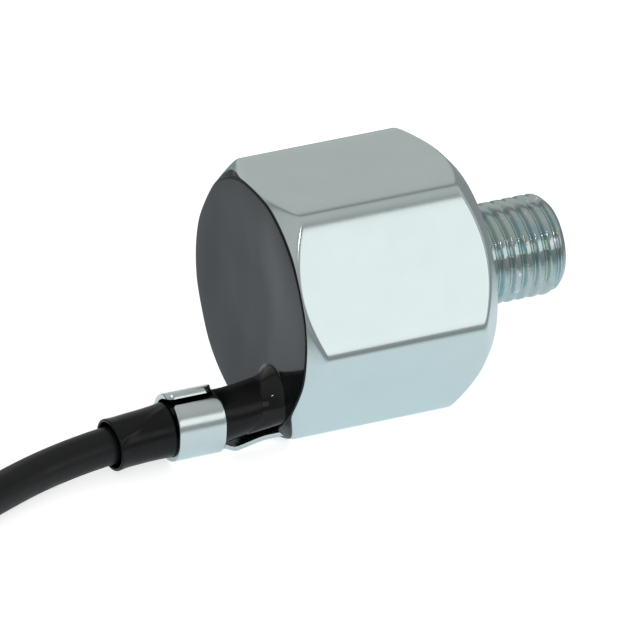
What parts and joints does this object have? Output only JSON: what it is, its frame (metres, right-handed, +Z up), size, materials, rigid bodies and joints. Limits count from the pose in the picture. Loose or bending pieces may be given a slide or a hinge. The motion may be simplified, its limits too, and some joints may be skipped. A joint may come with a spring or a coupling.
{
  "type": "engine knock sensor",
  "caption": "Hexagonal steel cup with a threaded stud, a potted face with a crimped strap over the cable's sleeve, and a tied cable coil ending in a sealed connector.",
  "frame": {"origin": "centre of the seat face at the foot of the threaded stud, on the stud's axis", "axes": "+X along the stud, away from the body; +Z up, square to the hexagon flat that the part lies on; the cable leaves towards -X"},
  "size_m": [0.113, 0.0517, 0.024],
  "materials": {
    "zinc_steel": "bright zinc plate, slightly blue",
    "resin": "glossy cast epoxy",
    "zinc_strap": "zinc-plated sheet",
    "sleeve_rubber": "satin",
    "cable_jacket": "matte",
    "tie_plastic": "moulded nylon",
    "insulator_film": "film",
    "contact_brass": "stamped, tinned",
    "piezo_ceramic": "sintered ceramic with silvered faces",
    "plain_steel": "turned",
    "resistor_body": "lacquered",
    "wire_white": "extruded",
    "wire_black": "extruded",
    "connector_plastic": "moulded nylon",
    "seal_rubber": "silicone",
    "lock_plastic": "moulded"
  },
  "bodies": {
    "root": {"hex_housing": "zinc_steel", "potting_resin": "resin", "strain_relief_strap": "zinc_strap", "cable_sleeve": "sleeve_rubber", "sensor_cable": "cable_jacket", "cable_coil": "cable_jacket", "cable_tail": "cable_jacket", "cable_tie": "tie_plastic", "lower_insulator": "insulator_film", "lower_contact": "contact_brass", "piezo_ring": "piezo_ceramic", "upper_contact": "contact_brass", "upper_insulator": "insulator_film", "insulating_tube": "insulator_film", "seismic_mass": "plain_steel", "disc_spring": "plain_steel", "clamp_screw": "plain_steel", "shunt_resistor": "resistor_body", "signal_wire": "wire_white", "ground_wire": "wire_black", "connector_housing": "connector_plastic", "wire_seal": "seal_rubber", "interface_seal": "seal_rubber", "terminal_lock": "lock_plastic", "terminal_right": "contact_brass", "terminal_left": "contact_brass"}
  },
  "joints": []
}
